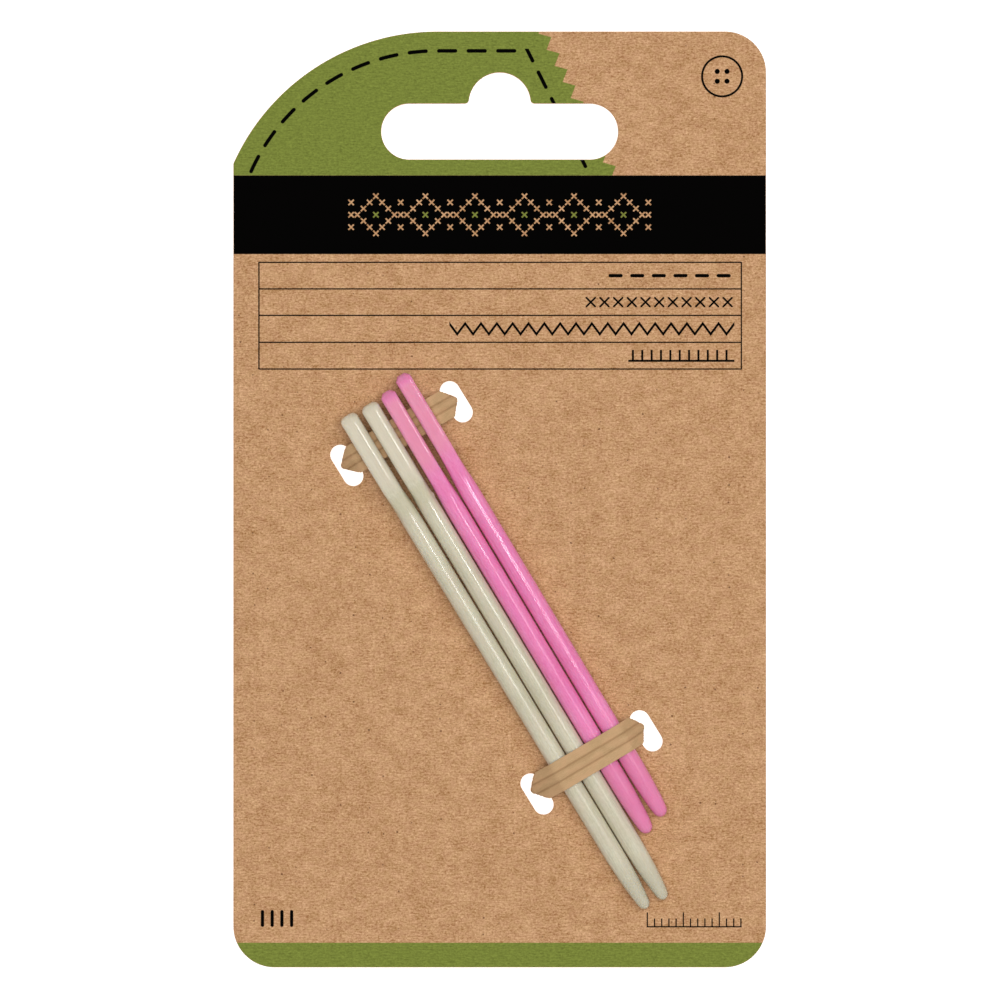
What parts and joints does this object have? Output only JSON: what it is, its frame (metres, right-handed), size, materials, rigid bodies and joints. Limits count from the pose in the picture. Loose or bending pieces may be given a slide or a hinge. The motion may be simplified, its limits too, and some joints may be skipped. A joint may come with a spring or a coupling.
{
  "type": "carded set of plastic yarn needles",
  "caption": "Blunt plastic yarn needles in two lengths with long eyes, held on a kraft hang card by paper-covered wire ties that pass through die-cut holes.",
  "frame": {"origin": "middle of the card in plan, at the level of the lowest point of the twisted tie ends behind the card", "axes": "+Z out of the printed face, +Y towards the hang slot, +X to the right when the printed face is read"},
  "size_m": [0.074, 0.13, 0.0078],
  "materials": {
    "kraft_board": "solid uncoated kraft board, printed in matt ink on the front",
    "cream_plastic": "moulded, satin to gloss, with a fine parting line",
    "pink_plastic": "moulded, glossy, slightly translucent",
    "tie_paper": "tan kraft paper, matt, creased where it is folded and twisted",
    "tie_wire": "soft annealed steel wire"
  },
  "bodies": {
    "card": {"backing_card": "kraft_board", "upper_tie_front_ply": "tie_paper", "upper_tie_back_ply": "tie_paper", "upper_tie_wire": "tie_wire", "lower_tie_front_ply": "tie_paper", "lower_tie_back_ply": "tie_paper", "lower_tie_wire": "tie_wire"},
    "large_left": {"large_needle_left": "cream_plastic"},
    "large_right": {"large_needle_right": "cream_plastic"},
    "small_left": {"small_needle_left": "pink_plastic"},
    "small_right": {"small_needle_right": "pink_plastic"}
  },
  "joints": [
    {"name": "large_left_slide", "type": "slide", "parent": "card", "child": "large_left", "axis": [0.5193, -0.8546, 0], "range_m": [-0.00485, 0.0013]},
    {"name": "large_right_slide", "type": "slide", "parent": "card", "child": "large_right", "axis": [0.5147, -0.8574, 0], "range_m": [-0.005, 0.0011]},
    {"name": "small_left_slide", "type": "slide", "parent": "card", "child": "small_left", "axis": [0.512, -0.859, 0], "range_m": [-0.004, 0.00155]},
    {"name": "small_right_slide", "type": "slide", "parent": "card", "child": "small_right", "axis": [0.512, -0.859, 0], "range_m": [-0.003, 0.0025]}
  ]
}
